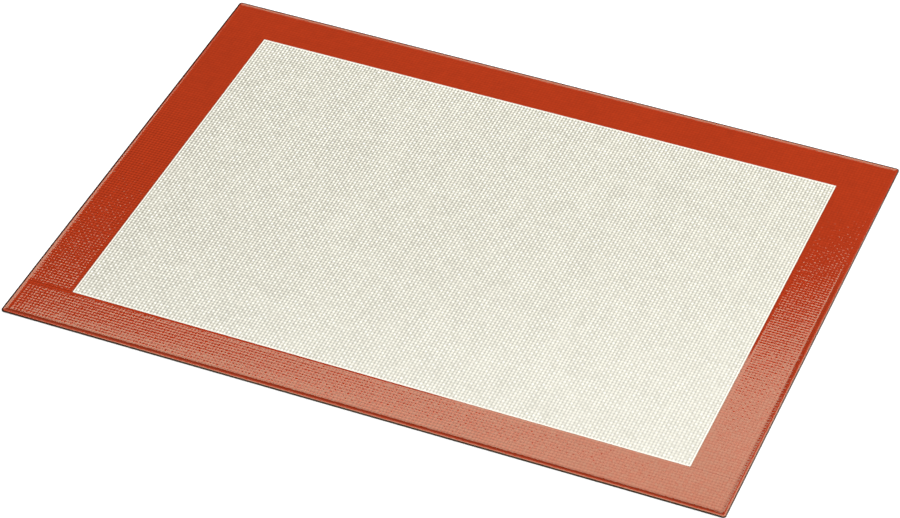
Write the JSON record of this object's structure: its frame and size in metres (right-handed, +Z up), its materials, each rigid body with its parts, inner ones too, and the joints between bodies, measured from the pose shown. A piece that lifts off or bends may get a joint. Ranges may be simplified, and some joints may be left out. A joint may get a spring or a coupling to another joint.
{
  "type": "silicone baking mat",
  "caption": "Flat rectangular baking mat: woven glass cloth between silicone coats, a pale field, a coloured border and a raised sealing bead round the edge.",
  "frame": {"origin": "on the underside, at the middle of the mat's outline", "axes": "+X along the long side, -Y towards the front edge, +Z up through the thickness, out of the face with the raised bead"},
  "size_m": [0.4, 0.3, 0.0009],
  "materials": {
    "glass_cloth": "matte",
    "clear_silicone": "satin",
    "border_silicone": "satin",
    "edge_silicone": "satin"
  },
  "bodies": {
    "root": {"glass_cloth": "glass_cloth", "upper_field_coat": "clear_silicone", "upper_front_border": "border_silicone", "upper_back_border": "border_silicone", "upper_left_border": "border_silicone", "upper_right_border": "border_silicone", "lower_field_coat": "clear_silicone", "lower_front_border": "border_silicone", "lower_back_border": "border_silicone", "lower_left_border": "border_silicone", "lower_right_border": "border_silicone", "front_edge_bead": "edge_silicone", "back_edge_bead": "edge_silicone", "left_edge_bead": "edge_silicone", "right_edge_bead": "edge_silicone"}
  },
  "joints": []
}
